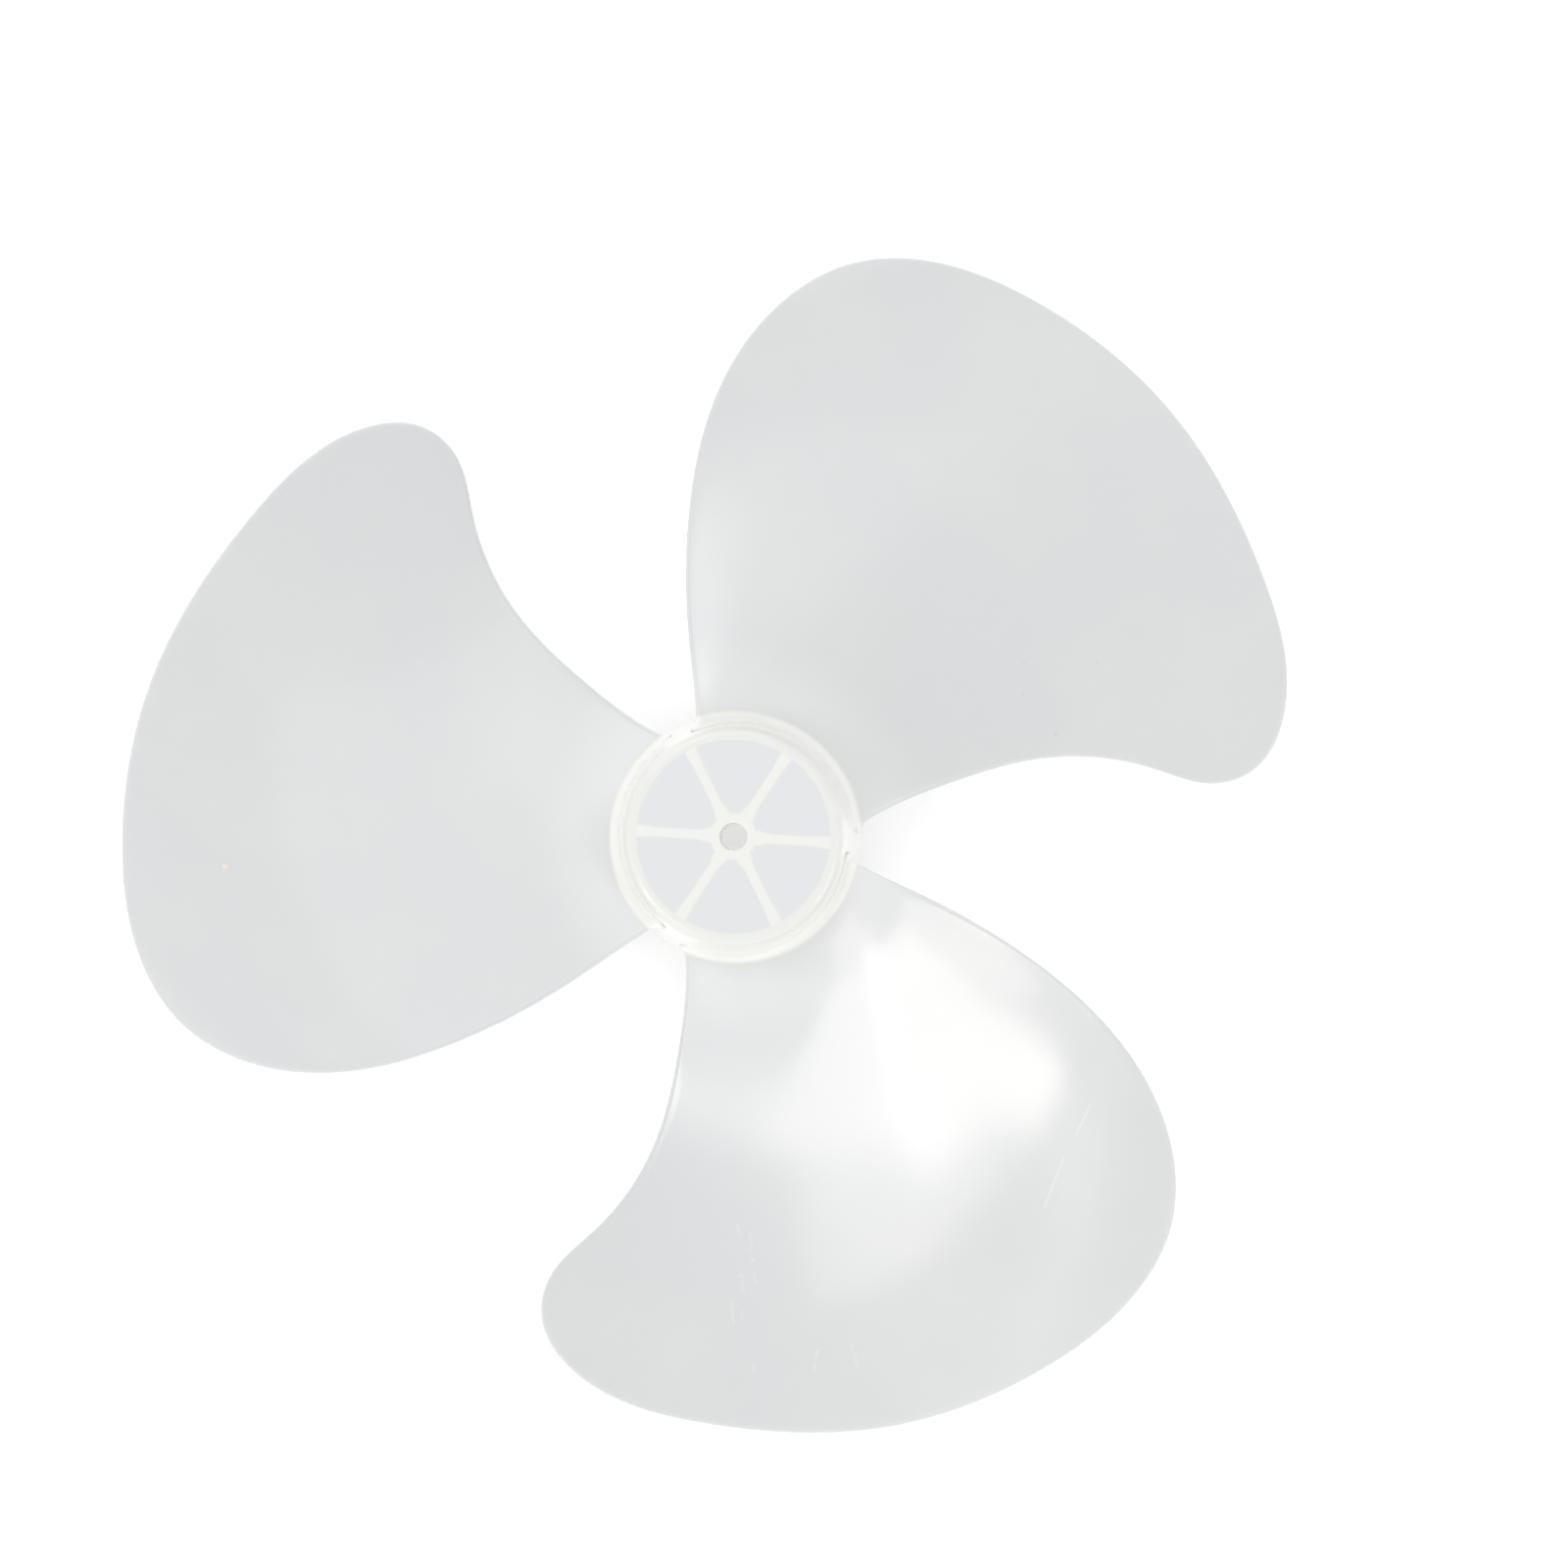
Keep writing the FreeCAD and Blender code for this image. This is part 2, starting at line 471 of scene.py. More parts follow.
    def half_thickness(self, x: float, y: float, side: int) -> float:
        """Half of the blade's thickness with its root fillet.

        Args:
            x: Place along the blade's middle line.
            y: Place across it.
            side: 1 for the front, -1 for the back.

        Returns:
            Distance from the middle surface along the axis.
        """
        radius = math.hypot(x, y)
        half = self.half_sheet(radius)
        gap = radius - self.wall.outside(self.height(x, y) + side * half)
        return half + self.root_round.rise(gap)

    def rim(self, run: float) -> tuple[np.ndarray, np.ndarray, float]:
        """Find a place on the outline.

        Args:
            run: Distance along the outline.

        Returns:
            The point set in from the outline by the rim's round, the way out
            and the rim's round.
        """
        point = np.array([np.interp(run, self.run, self.line[:, axis]) for axis in (0, 1)])
        out = np.array([np.interp(run, self.run, self.outward[:, axis]) for axis in (0, 1)])
        out /= np.linalg.norm(out)
        half = self.half_sheet(math.hypot(*point))
        return point - out * half, out, half

    def root(self, across: float) -> np.ndarray:
        """Find a place on the root's end inside the hub's wall.

        Args:
            across: 0 at the trailing corner to 1 at the leading one.

        Returns:
            The point in plan.
        """
        ends = [self.rim(self.corner_runs[index])[0] for index in (0, 3)]
        turns = [math.atan2(end[1], end[0]) for end in ends]
        turn = turns[0] + (turns[1] - turns[0]) * across
        first, last = (self.wall.outside(self.height(*end)) - math.hypot(*end) for end in ends)
        bury = first + (last - first) * across
        ray = np.array((math.cos(turn), math.sin(turn)))
        radius = self.wall.back_radius
        for _ in range(self.root_tries):
            radius = self.wall.outside(self.height(*(ray * radius))) - bury
        return ray * radius

    def plan(self, across: float, along: float) -> np.ndarray:
        """Spread the four sides of the outline into a sheet.

        Args:
            across: 0 at the trailing edge to 1 at the leading edge.
            along: 0 at the root to 1 at the tip.

        Returns:
            The point in plan.
        """
        trailing, lobe, hook, leading = self.corner_runs
        near = self.rim(trailing + (lobe - trailing) * along)[0]
        far = self.rim(leading + (hook - leading) * along)[0]
        tip = self.rim(lobe + (hook - lobe) * across)[0]
        corners = [self.rim(run)[0] for run in self.corner_runs]
        sides = (1 - along) * self.root(across) + along * tip + (1 - across) * near + across * far
        shared = ((1 - across) * ((1 - along) * corners[0] + along * corners[1])
                  + across * ((1 - along) * corners[3] + along * corners[2]))
        return sides - shared

    def way_out(self, across: float, along: float) -> Optional[tuple[np.ndarray, float]]:
        """Find the way out of the blade on its rim.

        Args:
            across: 0 at the trailing edge to 1 at the leading edge.
            along: 0 at the root to 1 at the tip.

        Returns:
            Direction in plan and the rim's round, or nothing at the root.
        """
        trailing, lobe, hook, leading = self.corner_runs
        if across < CLOSE:
            run = trailing + (lobe - trailing) * along
        elif across > 1 - CLOSE:
            run = leading + (hook - leading) * along
        elif along > 1 - CLOSE:
            run = lobe + (hook - lobe) * across
        else:
            return None
        return self.rim(run)[1:]

    def row_share(self, row: float) -> float:
        """Space the rows, with many of them in the root's fillet.

        Args:
            row: -1 at the root to 1 at the tip.

        Returns:
            Share of the way from the root to the tip.
        """
        step = (row + 1) / 2 * self.rows
        span = self.tip_radius - self.wall.back_radius
        start = self.root_round.reach()
        if step <= 1:
            gap = -self.root_bury + (self.root_bury + self.root_round.gap(0)) * step
        elif step <= self.root_rows:
            gap = self.root_round.gap((step - 1) / (self.root_rows - 1))
        else:
            share = (step - self.root_rows) / (self.rows - self.root_rows)
            gap = start + (span - start) * share ** self.row_growth
        return (gap + self.root_bury) / (span + self.root_bury)

    def place(self, column: float, row: float, side: float) -> Vector:
        """Place a point of the blade whose middle line is along +X.

        Args:
            column: -1 at the trailing edge to 1 at the leading edge.
            row: -1 at the root to 1 at the tip.
            side: -1 on the back to 1 on the front.

        Returns:
            The point, in millimetres.
        """
        across = (column + 1) / 2
        along = self.row_share(row)
        if (column, row) not in self.plans:
            self.plans[column, row] = self.plan(across, along)
        point = self.plans[column, row]
        half = [self.half_thickness(*point, way) for way in (1, -1)]
        turn = side * math.pi / 2
        edge = self.way_out(across, along)
        if edge and abs(side) < 1 - CLOSE:
            extra = self.root_round.rise(math.hypot(*point) - self.wall.outside(self.height(*point)))
            point = point + edge[0] * (edge[1] + extra) * math.cos(turn)
        lift = half[0] if side > 0 else half[1]
        return Vector((*point, self.height(*point) + lift * math.sin(turn)))

    def build(self, count: int, first_degrees: float) -> bpy.types.Object:
        """Make all the blades.

        Args:
            count: Number of blades.
            first_degrees: Angle of the first blade's middle line.

        Returns:
            The blades, ready to join the hub.
        """
        mesh = thick_sheet(self.columns, self.rows, self.rim_cuts, self.place)
        repeat(mesh, count, first_degrees)
        return finish_object(mesh, "blades")


Number = Union["Socket", float]


class Socket:
    """Shader value that grows Math nodes out of Python expressions."""

    def __init__(self, shader: "Shader", socket: bpy.types.NodeSocket) -> None:
        """Keep a node's output and the shader that it belongs to."""
        self.shader = shader
        self.socket = socket

    def math(self, operation: str, first: Number, second: Number = 0.0) -> "Socket":
        """Add a Math node.

        Args:
            operation: Name of the Math operation.
            first: First value.
            second: Second value.

        Returns:
            The node's value.
        """
        return self.shader.value("ShaderNodeMath", {"operation": operation}, {0: first, 1: second})

    def __add__(self, other: Number) -> "Socket":
        """Sum."""
        return self.math("ADD", self, other)

    def __sub__(self, other: Number) -> "Socket":
        """Difference."""
        return self.math("SUBTRACT", self, other)

    def __rsub__(self, other: Number) -> "Socket":
        """Difference the other way round."""
        return self.math("SUBTRACT", other, self)

    def __mul__(self, other: Number) -> "Socket":
        """Product."""
        return self.math("MULTIPLY", self, other)

    def __truediv__(self, other: Number) -> "Socket":
        """Quotient."""
        return self.math("DIVIDE", self, other)

    def __rtruediv__(self, other: Number) -> "Socket":
        """Quotient the other way round."""
        return self.math("DIVIDE", other, self)

    def __abs__(self) -> "Socket":
        """Distance from zero."""
        return self.math("ABSOLUTE", self)

    __radd__ = __add__
    __rmul__ = __mul__

    def fade(self, start: Number, end: Number) -> "Socket":
        """Turn the value into a soft mask.

        Args:
            start: Value at which the mask is 0.
            end: Value at which the mask is 1.

        Returns:
            The mask.
        """
        return self.shader.value("ShaderNodeMapRange", {"interpolation_type": "SMOOTHSTEP"},
                                 {"Value": self, "From Min": start, "From Max": end})


class Shader:
    """Node tree of one material."""

    def __init__(self, name: str) -> None:
        """Start an empty material.

        Args:
            name: Name of the material.
        """
        self.material = bpy.data.materials.new(name)
        self.material.use_nodes = True
        self.tree = self.material.node_tree
        self.tree.nodes.clear()

    def node(self, kind: str, settings: dict, inputs: dict) -> bpy.types.Node:
        """Add a node.

        Args:
            kind: Type of the node.
            settings: Properties, which are set first.
            inputs: Values or links of its sockets, by name or number.

        Returns:
            The node.
        """
        made = self.tree.nodes.new(kind)
        for name, setting in settings.items():
            setattr(made, name, setting)
        for name, given in inputs.items():
            if isinstance(given, Socket):
                self.tree.links.new(given.socket, made.inputs[name])
            else:
                made.inputs[name].default_value = given
        return made

    def value(self, kind: str, settings: dict, inputs: dict, output: Union[str, int] = 0) -> Socket:
        """Add a node and take one of its outputs.

        Args:
            kind: Type of the node.
            settings: Properties, which are set first.
            inputs: Values or links of its sockets, by name or number.
            output: Name or number of the output.

        Returns:
            The output.
        """
        return Socket(self, self.node(kind, settings, inputs).outputs[output])

    def split(self, vector: Socket) -> list[Socket]:
        """Take a vector apart into its three values."""
        parts = self.node("ShaderNodeSeparateXYZ", {}, {0: vector})
        return [Socket(self, output) for output in parts.outputs]

    def blend(self, share: Number, first: Union[Socket, Colour], second: Union[Socket, Colour]) -> Socket:
        """Mix two colours.

        Args:
            share: Share of the second colour.
            first: First colour.
            second: Second colour.

        Returns:
            The mixed colour.
        """
        return self.value("ShaderNodeMix", {"data_type": "RGBA"}, {0: share, 6: first, 7: second}, 2)

    def noise(self, place: Socket, scale: float, detail: float) -> Socket:
        """Add a noise pattern.

        Args:
            place: Coordinates.
            scale: Pattern repeats per metre.
            detail: Number of finer layers.

        Returns:
            The pattern, from 0 to 1.
        """
        return self.value("ShaderNodeTexNoise", {},
                          {"Vector": place, "Scale": scale, "Detail": detail}, "Fac")

    def close(self, surface: bpy.types.Node) -> bpy.types.Material:
        """Join the surface shader to the output.

        Args:
            surface: Node of the surface shader.

        Returns:
            The finished material.
        """
        out = self.node("ShaderNodeOutputMaterial", {}, {})
        self.tree.links.new(surface.outputs[0], out.inputs["Surface"])
        return self.material


@dataclass(frozen=True)
class Fade:
    """Soft step of a mask, from 0 at the start to 1 at the end."""

    start: float
    end: float

    def plain(self, value: Socket) -> Socket:
        """Mask a plain value."""
        return value.fade(self.start, self.end)

    def length(self, value: Socket) -> Socket:
        """Mask a length in metres by a step in millimetres."""
        return value.fade(self.start * MM, self.end * MM)


@dataclass(frozen=True)
class Pattern:
    """Noise pattern as a soft mask."""

    scale: float
    detail: float
    step: Fade
    share: float = 1.0

    def mask(self, shader: Shader, place: Socket) -> Socket:
        """Draw the pattern.

        Args:
            shader: Shader that gets the nodes.
            place: Coordinates.

        Returns:
            The mask, from 0 to the pattern's share.
        """
        return self.step.plain(shader.noise(place, self.scale, self.detail)) * self.share


@dataclass(frozen=True)
class Mark:
    """Small mark on the moulding, a line or a dot seen along the shaft axis.

    The mark shows in full on the share core of its width.
    """

    start: tuple[float, float]
    end: tuple[float, float]
    width: float
    core: float = 0.3

    def mask(self, shader: Shader, place: Socket) -> Socket:
        """Draw the mark.

        Args:
            shader: Shader that gets the nodes.
            place: Object coordinates.

        Returns:
            1 on the mark, 0 off it.
        """
        run = Vector(self.end) - Vector(self.start)
        middle = (Vector(self.start) + Vector(self.end)) / 2 * MM
        turned = shader.value("ShaderNodeMapping", {"vector_type": "TEXTURE"}, {
            "Vector": place, "Location": (*middle, 0.0), "Rotation": (0.0, 0.0, math.atan2(run.y, run.x))})
        along, across = (abs(value) for value in shader.split(turned)[:2])
        past = along.math("MAXIMUM", along - run.length / 2 * MM, 0.0)
        off = across.math("SQRT", across * across + past * past)
        return Fade(self.width, self.width * self.core).length(off)


def any_mark(shader: Shader, place: Socket, marks: Sequence[Mark]) -> Socket:
    """Join the masks of several marks.

    Args:
        shader: Shader that gets the nodes.
        place: Object coordinates.
        marks: The marks.

    Returns:
        1 on any of the marks.
    """
    whole = marks[0].mask(shader, place)
    for mark in marks[1:]:
        whole = whole.math("MAXIMUM", whole, mark.mask(shader, place))
    return whole


def sector(axes: Sequence[Socket], count: int, first_degrees: float = 0.0) -> Socket:
    """Measure the angle from the middle line of the nearest of several like parts.

    Args:
        axes: Object coordinates along X, Y and Z.
        count: Number of parts round the shaft axis.
        first_degrees: Angle of the first part's middle line.

    Returns:
        The angle, in radians.
    """
    x, y, _ = axes
    turn = x.math("ARCTAN2", y, x) * (count / math.tau) + (0.5 - first_degrees * count / 360)
    return (turn.math("FRACT", turn) - 0.5) * (math.tau / count)


@dataclass(frozen=True)
class TranslucentPlastic:
    """Glossy milky plastic, with painted light on the hub, the blades' roots and the disc, where the ribs
    show through.

    The steps of edges, flares and the worn lobes are radii from the shaft axis,
    and those of the disc's front and the lip are heights. A rib's edge is a step
    in shares of its half width. The gloss is a clear coat, worn thin on the
    blades' outer trailing lobes.
    """

    sheet: Colour = (0.635, 0.645, 0.654, 1.0)
    cloud: Colour = (0.655, 0.661, 0.661, 1.0)
    # Painted light: the blades' colour near the hub, lighter against the shade there.
    root: Colour = (0.712, 0.720, 0.722, 1.0)
    # The plastic's tone and painted light: the thick wall lighter, for the light scattered in it.
    thick_tone_and_light: Colour = (0.872, 0.872, 0.848, 1.0)
    lip: Colour = (0.765, 0.765, 0.745, 1.0)
    disc: Colour = (0.70, 0.712, 0.728, 1.0)
    # Painted light: the ribs seen through the disc, lighter for the light scattered in them.
    rib: Colour = (0.795, 0.797, 0.77, 1.0)
    scratch: Colour = (0.86, 0.86, 0.86, 1.0)
    fleck: Colour = (0.50, 0.50, 0.47, 1.0)
    spot: Colour = (0.85, 0.75, 0.68, 1.0)
    scratch_share: float = 0.22
    scuff_share: float = 0.19
    fleck_share: float = 0.35
    spot_share: float = 0.8
    index: float = 1.49
    shine: float = 0.25
    roughness: float = 0.33
    gloss: float = 0.11
    glow: float = 0.2
    glow_depth: float = 2.0
    root_light_reach: float = 62.0
    hub_blur: float = 0.7
    disc_edge: Fade = Fade(28.8, 28.0)
    disc_front: Fade = Fade(-1.2, -0.4)
    lip_front: Fade = Fade(-3.4, -1.2)
    boss_edge: Fade = Fade(7.3, 6.3)
    rib_edge: Fade = Fade(1.3, 0.75)
    rib_half: float = 1.35
    wall_flare: Fade = Fade(22.0, 27.0)
    wall_flare_half: float = 0.35
    boss_flare: Fade = Fade(11.0, 7.0)
    boss_flare_half: float = 0.8
    wear: float = 0.86
    worn_lobe: Fade = Fade(127.0, 141.0)
    worn_lean: float = 29.0
    scratch_dulling: float = 0.3
    front_side: Fade = Fade(0.1, 0.3)
    clouds: Pattern = Pattern(18.0, 3.0, Fade(0.3, 0.7))
    breaks: Pattern = Pattern(650.0, 2.0, Fade(0.36, 0.6))
    smears: Pattern = Pattern(45.0, 4.0, Fade(0.35, 0.75), 0.04)
    hairs: Pattern = Pattern(1.0, 2.0, Fade(0.6, 0.8), 0.03)
    hair_stretch: tuple[float, float, float] = (40.0, 900.0, 40.0)
    grain_scale: float = 900.0
    grain_detail: float = 2.0
    grain_strength: float = 0.03
    grain_depth: float = 0.2
    scratches: tuple[Mark, ...] = (
        Mark((109.3, -72.0), (105.7, -80.6), 0.55), Mark((102.3, -87.9), (97.5, -102.5), 0.6))
    scuffs: tuple[Mark, ...] = (
        Mark((6.8, -113.6), (7.8, -116.4), 0.8), Mark((10.7, -115.7), (12.0, -123.6), 0.7),
        Mark((12.5, -127.0), (13.2, -129.6), 0.7), Mark((8.4, -126.1), (9.7, -133.0), 0.8),
        Mark((9.7, -138.1), (9.8, -140.4), 0.7), Mark((6.4, -136.0), (7.3, -141.7), 0.6),
        Mark((14.3, -152.2), (14.2, -155.4), 0.7), Mark((32.6, -148.8), (31.8, -155.2), 0.7),
        Mark((42.6, -145.9), (44.7, -152.1), 0.6))
    flecks: tuple[Mark, ...] = (
        Mark((80.4, 56.8), (80.7, 56.8), 0.5), Mark((101.7, 58.2), (101.9, 58.0), 0.4),
        Mark((81.0, 46.8), (81.0, 47.1), 0.4), Mark((90.8, 36.0), (91.2, 36.0), 0.5))
    spots: tuple[Mark, ...] = (Mark((-148.9, -17.9), (-148.6, -17.9), 0.9),)

    def hub_tint_and_painted_light(self, shader: Shader, hub: HubCup, axes: Sequence[Socket], radius: Socket,
                 plain: Socket) -> Socket:
        """Paint light onto the blades' roots, the hub and the disc, on which the ribs and boss show
        through.

        Args:
            shader: Shader that gets the nodes.
            hub: Hub with the ribs and the boss.
            axes: Object coordinates along X, Y and Z.
            radius: Distance from the shaft axis.
            plain: Colour of the blades.

        Returns:
            The tinted colour.
        """
        height = axes[2]
        edge = hub.wall.back_radius
        turn = sector(axes, hub.rib_count)
        off = abs(turn.math("SINE", turn) * radius)
        # Painted light: the ribs and the boss behind the disc show on its front as lighter streaks and a
        # lighter ring, for the light scattered in them.
        flare = (self.wall_flare.length(radius) * self.wall_flare_half
                 + self.boss_flare.length(radius) * self.boss_flare_half)
        rib = self.rib_edge.plain(off / ((flare + self.rib_half) * MM))
        seen = rib.math("MAXIMUM", rib, self.boss_edge.length(radius))
        on_disc = self.disc_edge.length(radius) * self.disc_front.length(height)
        on_hub = Fade(edge + self.hub_blur, edge - self.hub_blur).length(radius)
        # Painted light and the plastic's tone: the hub lighter than the blades, for the light scattered in
        # its thick wall and against the shade at its corners; the front lip a little darker.
        wall = shader.blend(self.lip_front.length(height), self.thick_tone_and_light, self.lip)
        # Painted light: the blades lighter towards the hub, against the shade that falls on them there.
        colour = shader.blend(Fade(self.root_light_reach, edge).length(radius), plain, self.root)
        colour = shader.blend(on_hub, colour, wall)
        return shader.blend(on_disc, colour, shader.blend(seen, self.disc, self.rib))

    def make(self, hub: HubCup, blade_count: int, first_blade_degrees: float) -> bpy.types.Material:
        """Build the material.

        Args:
            hub: Hub whose ribs and boss show through.
            blade_count: Number of blades.
            first_blade_degrees: Angle of the first blade's middle line.

        Returns:
            The material.
        """
        shader = Shader("translucent_plastic")
        places = shader.node("ShaderNodeTexCoord", {}, {})
        place, normal = (Socket(shader, places.outputs[name]) for name in ("Object", "Normal"))
        axes = shader.split(place)
        x, y, _ = axes
        radius = x.math("SQRT", x * x + y * y)
        front = self.front_side.plain(shader.split(normal)[2])
        scratch = any_mark(shader, place, self.scratches) * front
        scuff = any_mark(shader, place, self.scuffs) * (self.breaks.mask(shader, place) * front)
        fleck = any_mark(shader, place, self.flecks)
        spot = any_mark(shader, place, self.spots)
        colour = shader.blend(self.clouds.mask(shader, place), self.sheet, self.cloud)
        colour = self.hub_tint_and_painted_light(shader, hub, axes, radius, colour)
        colour = shader.blend(scratch * self.scratch_share + scuff * self.scuff_share, colour, self.scratch)
        colour = shader.blend(fleck * self.fleck_share, colour, self.fleck)
        colour = shader.blend(spot * self.spot_share, colour, self.spot)
        stretched = shader.value("ShaderNodeMapping", {}, {"Vector": place, "Scale": self.hair_stretch})
        smear = self.smears.mask(shader, place) + self.hairs.mask(shader, stretched)
        lobe = radius + sector(axes, blade_count, first_blade_degrees) * (self.worn_lean * MM)
        worn = self.worn_lobe.length(lobe) * self.wear
        grain = shader.noise(place, self.grain_scale, self.grain_detail)
        bump = shader.value("ShaderNodeBump", {}, {
            "Strength": self.grain_strength, "Distance": self.grain_depth * MM, "Height": grain})
        surface = shader.node("ShaderNodeBsdfPrincipled", {}, {
            "Base Color": colour,
            "Roughness": smear + self.roughness,
            "Normal": bump,
            "IOR": self.index,
            "Specular IOR Level": self.shine,
            "Coat Weight": 1 - worn - smear - scratch * self.scratch_dulling,
            "Coat Roughness": self.gloss,
            "Coat IOR": self.index,
            "Subsurface Weight": self.glow,
            "Subsurface Scale": self.glow_depth * MM,
            "Subsurface Radius": (1.0, 1.0, 1.0),
        })
        return shader.close(surface)


@dataclass
class FanMoulding:
    """The whole moulding: hub cup and blades in one closed piece."""

    hub: HubCup = field(default_factory=HubCup)
    blade: Blade = field(default_factory=Blade)
    finish: TranslucentPlastic = field(default_factory=TranslucentPlastic)
    blade_count: int = 3
    first_blade_degrees: float = -60.0
    smooth_degrees: float = 20.0
    weld: float = 0.005

    def build(self) -> bpy.types.Object:
        """Join the hub, its ribs and the blades.

        Returns:
            The moulding as one closed mesh.
        """
        item = self.hub.build()
        combine(item, self.hub.ribs(), Join.ADD)
        combine(item, self.blade.build(self.blade_count, self.first_blade_degrees), Join.ADD)
        combine(item, self.hub.pin_slot(), Join.CUT)
        self.clean(item)
        item.data.shade_smooth()
        item.data.set_sharp_from_angle(angle=math.radians(self.smooth_degrees))
        return item

    def clean(self, item: bpy.types.Object) -> None:
        """Weld slivers and split many-sided faces, so that the mesh is closed as triangles too.

        Args:
            item: The moulding.
        """
        mesh = bmesh.new()
        mesh.from_mesh(item.data)
        bmesh.ops.dissolve_degenerate(mesh, edges=mesh.edges, dist=self.weld * MM)
        many_sided = [face for face in mesh.faces if len(face.verts) > QUAD]
        bmesh.ops.triangulate(mesh, faces=many_sided, quad_method="BEAUTY", ngon_method="BEAUTY")
        bmesh.ops.dissolve_degenerate(mesh, edges=mesh.edges, dist=self.weld * MM)
        mesh.to_mesh(item.data)
        mesh.free()

    def dress(self, item: bpy.types.Object) -> None:
        """Give the moulding its finish and tie it to the CAD frame.

        Args:
            item: The moulding.
        """
        item.data.materials.clear()
        item.data.materials.append(self.finish.make(self.hub, self.blade_count, self.first_blade_degrees))
        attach(item, "root")
        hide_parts("fan_blade")


# Light of the window, a little warmer than the rest
DAYLIGHT = (1.0, 0.985, 0.93)


@dataclass(frozen=True)
class SoftPanel:
    """Soft light panel that faces the fan.

    The heading is measured in the photograph, from its right side upwards, and
    the slant from straight above. The size is in degrees along both, before the
    panel is rolled.
    """

    name: str
    heading: float
    slant: float
    wide: float
    tall: float
    radiance: float
    roll: float = 0.0
    tint: tuple[float, float, float] = (1.0, 1.0, 1.0)
    distance: float = 8.0


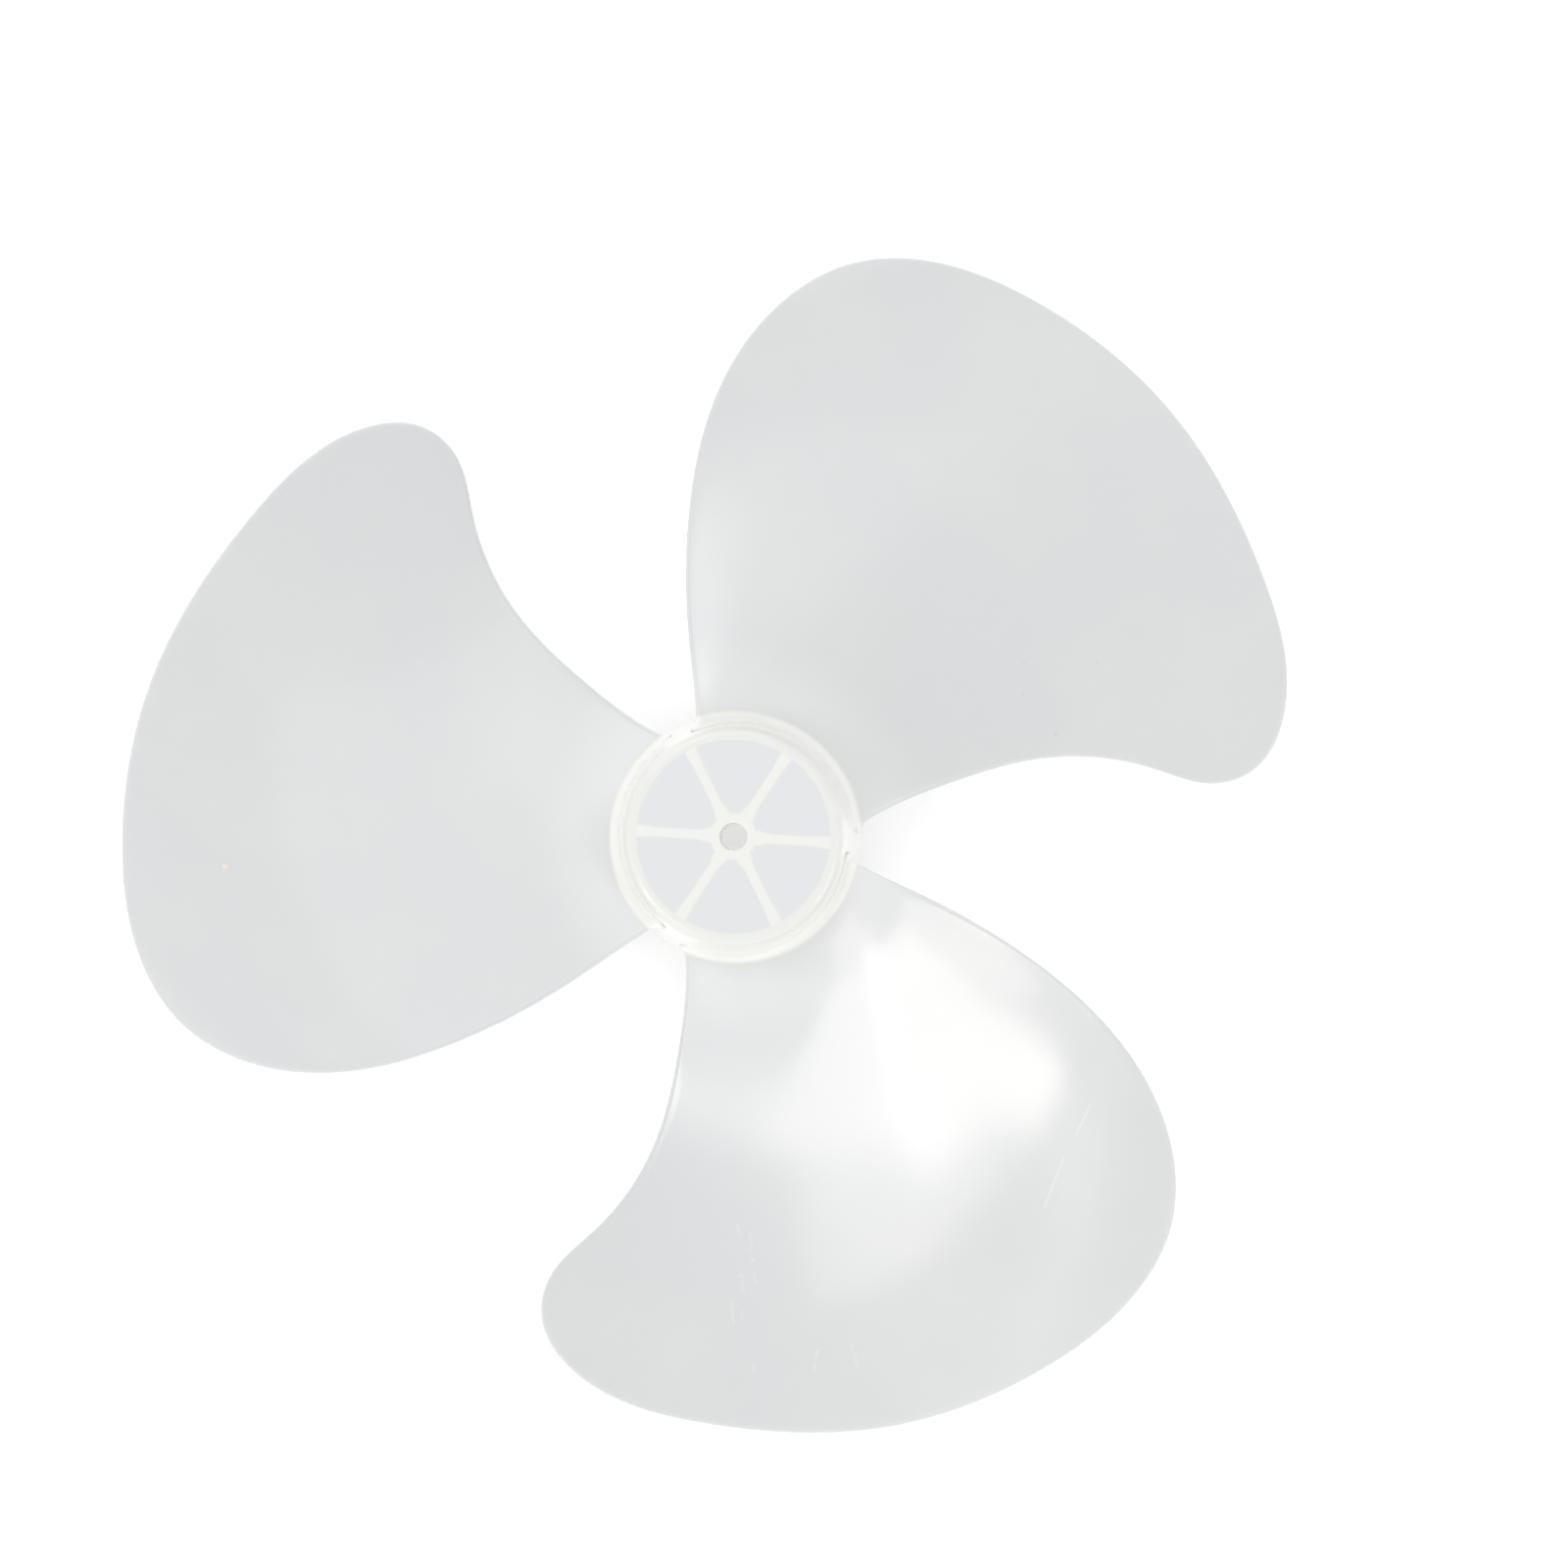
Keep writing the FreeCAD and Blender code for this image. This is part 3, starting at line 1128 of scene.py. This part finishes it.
@dataclass
class Studio:
    """White floor, soft light and the camera at the photograph's angle.

    The floor and the panels are measured in metres, the camera in millimetres.
    """

    half_floor: float = 4.0
    floor_white: float = 0.92
    floor_roughness: float = 0.7
    floor_shine: float = 0.2
    floor_glow: float = 0.33
    sky: float = 0.82
    panels: tuple[SoftPanel, ...] = (
        SoftPanel("window", -149.0, 47.3, 4.7, 12.5, 6.3, 0.0, DAYLIGHT),
        SoftPanel("window_end", -144.2, 38.6, 3.8, 8.4, 5.3, -35.0, DAYLIGHT),
        SoftPanel("window_foot", -150.9, 39.8, 3.0, 12.0, 2.0, -30.0, DAYLIGHT),
        SoftPanel("window_fade", -155.4, 37.0, 4.6, 11.0, 1.8, -30.0, DAYLIGHT),
        SoftPanel("window_head", -147.0, 57.0, 8.0, 7.0, 3.4, 0.0, DAYLIGHT),
        SoftPanel("curtain", -130.0, 38.0, 12.5, 14.0, 1.3),
        SoftPanel("left_fill", -150.0, 58.0, 70.0, 45.0, 0.34),
        SoftPanel("side", -18.0, 53.0, 40.0, 31.0, 0.45),
        SoftPanel("side_bright", -28.0, 58.5, 18.0, 14.0, 1.2),
        SoftPanel("side_soft", -31.0, 56.0, 24.0, 16.0, 0.75),
        SoftPanel("top", 105.0, 52.0, 60.0, 42.0, 0.74),
        SoftPanel("top_left", 126.0, 40.0, 19.0, 22.0, 0.6),
        SoftPanel("low", -60.0, 78.0, 70.0, 5.0, 3.5),
    )
    photo_turn: float = 3.6
    view_tilt: float = 2.62
    view_heading: tuple[float, float] = (0.952, -0.306)
    view_width: float = 459.0
    view_distance: float = 12000.0
    sensor: float = 36.0
    aim: tuple[float, float, float] = (14.54, 15.49, -7.0)

    def photo_axes(self) -> tuple[Vector, Vector]:
        """Directions to the right and up in the photograph."""
        turn = math.radians(self.photo_turn)
        return Vector((math.cos(turn), math.sin(turn), 0)), Vector((-math.sin(turn), math.cos(turn), 0))

    def floor(self) -> bpy.types.Object:
        """Lay the floor under the lowest point.

        Returns:
            The floor.
        """
        mesh = bmesh.new()
        bmesh.ops.create_grid(mesh, x_segments=1, y_segments=1, size=self.half_floor)
        bmesh.ops.translate(mesh, verts=mesh.verts, vec=(0, 0, CAD_BOX[0][2]))
        item = finish_object(mesh, "floor")
        shader = Shader("white_floor")
        white = (self.floor_white, self.floor_white, self.floor_white, 1.0)
        item.data.materials.append(shader.close(shader.node("ShaderNodeBsdfPrincipled", {}, {
            "Base Color": white, "Roughness": self.floor_roughness, "Specular IOR Level": self.floor_shine,
            "Emission Color": white, "Emission Strength": self.floor_glow})))
        return item

    def hang(self, panel: SoftPanel) -> bpy.types.Object:
        """Hang a light panel.

        Args:
            panel: The panel.

        Returns:
            The light.
        """
        right, up = self.photo_axes()
        heading, slant = math.radians(panel.heading), math.radians(panel.slant)
        side = right * math.cos(heading) + up * math.sin(heading)
        away = side * math.sin(slant) + Vector((0, 0, math.cos(slant)))
        light = bpy.data.lights.new(panel.name, "AREA")
        light.shape = "RECTANGLE"
        light.size = 2 * panel.distance * math.tan(math.radians(panel.wide / 2))
        light.size_y = 2 * panel.distance * math.tan(math.radians(panel.tall / 2))
        light.color = panel.tint
        light.energy = panel.radiance * math.pi * light.size * light.size_y
        item = bpy.data.objects.new(panel.name, light)
        item.matrix_world = (Matrix.Translation(away * panel.distance)
                             @ away.to_track_quat("Z", "Y").to_matrix().to_4x4()
                             @ Matrix.Rotation(math.radians(panel.roll), 4, "Z"))
        item.visible_camera = False
        bpy.context.scene.collection.objects.link(item)
        return item

    def light(self) -> None:
        """Fill the studio with soft white light."""
        world = bpy.data.worlds.new("studio")
        world.use_nodes = True
        sky = world.node_tree.nodes["Background"]
        sky.inputs["Color"].default_value = (1.0, 1.0, 1.0, 1.0)
        sky.inputs["Strength"].default_value = self.sky
        bpy.context.scene.world = world
        for panel in self.panels:
            self.hang(panel)
        bpy.context.scene.view_settings.view_transform = "Standard"

    def camera(self) -> bpy.types.Object:
        """Set the camera at the photograph's viewing angle.

        Returns:
            The camera.
        """
        right, up = self.photo_axes()
        tilt = math.radians(self.view_tilt)
        side = (right * self.view_heading[0] + up * self.view_heading[1]).normalized()
        away = side * math.sin(tilt) + Vector((0, 0, math.cos(tilt)))
        aim = (right * self.aim[0] + up * self.aim[1] + Vector((0, 0, self.aim[2]))) * MM
        across = up.cross(away).normalized()
        turned = Matrix((across, away.cross(across), away)).transposed()
        data = bpy.data.cameras.new("photo_camera")
        data.sensor_width = self.sensor
        data.lens = self.sensor * self.view_distance / self.view_width
        item = bpy.data.objects.new("photo_camera", data)
        item.matrix_world = Matrix.Translation(aim + away * self.view_distance * MM) @ turned.to_4x4()
        bpy.context.scene.collection.objects.link(item)
        bpy.context.scene.camera = item
        return item

    def build(self) -> None:
        """Set up the camera, the floor and the light."""
        self.camera()
        self.floor()
        self.light()


def main() -> None:
    """Build the moulding and its studio in order."""
    logging.basicConfig(level=logging.INFO, format="%(message)s")
    Studio().build()
    moulding = FanMoulding()
    item = moulding.build()
    moulding.dress(item)
    LOG.info("%s: %d faces", item.name, len(item.data.polygons))


if __name__ == "__main__":
    main()
